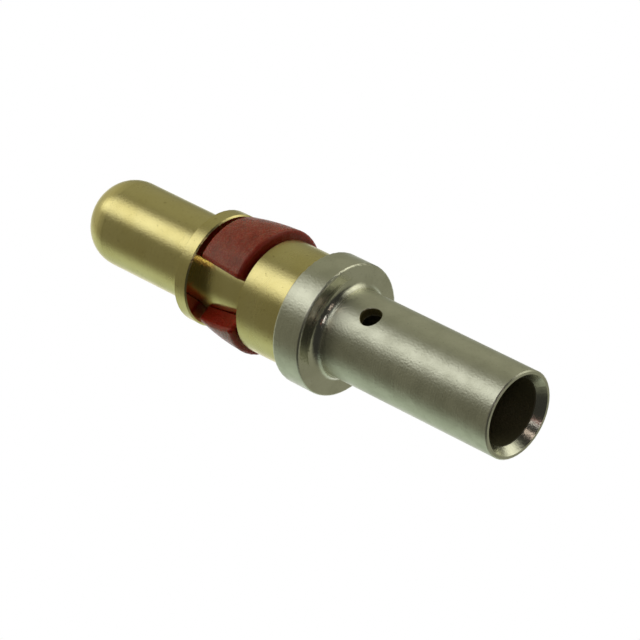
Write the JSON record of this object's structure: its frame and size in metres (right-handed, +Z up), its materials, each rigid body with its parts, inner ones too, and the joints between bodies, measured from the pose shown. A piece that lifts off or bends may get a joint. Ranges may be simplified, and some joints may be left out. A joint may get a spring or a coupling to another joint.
{
  "type": "crimp power contact",
  "caption": "Round plug-in power contact: domed pin, split retaining clip on its neck, flange and a tubular crimp barrel with an inspection hole.",
  "frame": {"origin": "centre of the crimp mouth's rim, where the contact stands on its end", "axes": "+Z up along the contact from the crimp mouth to the nose; the inspection hole faces -Y; the clip's gap faces -X and a little -Y"},
  "size_m": [0.0054, 0.0054, 0.0221],
  "materials": {
    "gold_plate": "turned copper alloy, gold plated, satin sheen",
    "nickel_plate": "turned copper alloy, nickel plated, satin sheen",
    "red_plastic": "moulded, fine matt grain"
  },
  "bodies": {
    "root": {"contact_pin": "gold_plate", "crimp_barrel": "nickel_plate", "retention_clip": "red_plastic"}
  },
  "joints": []
}
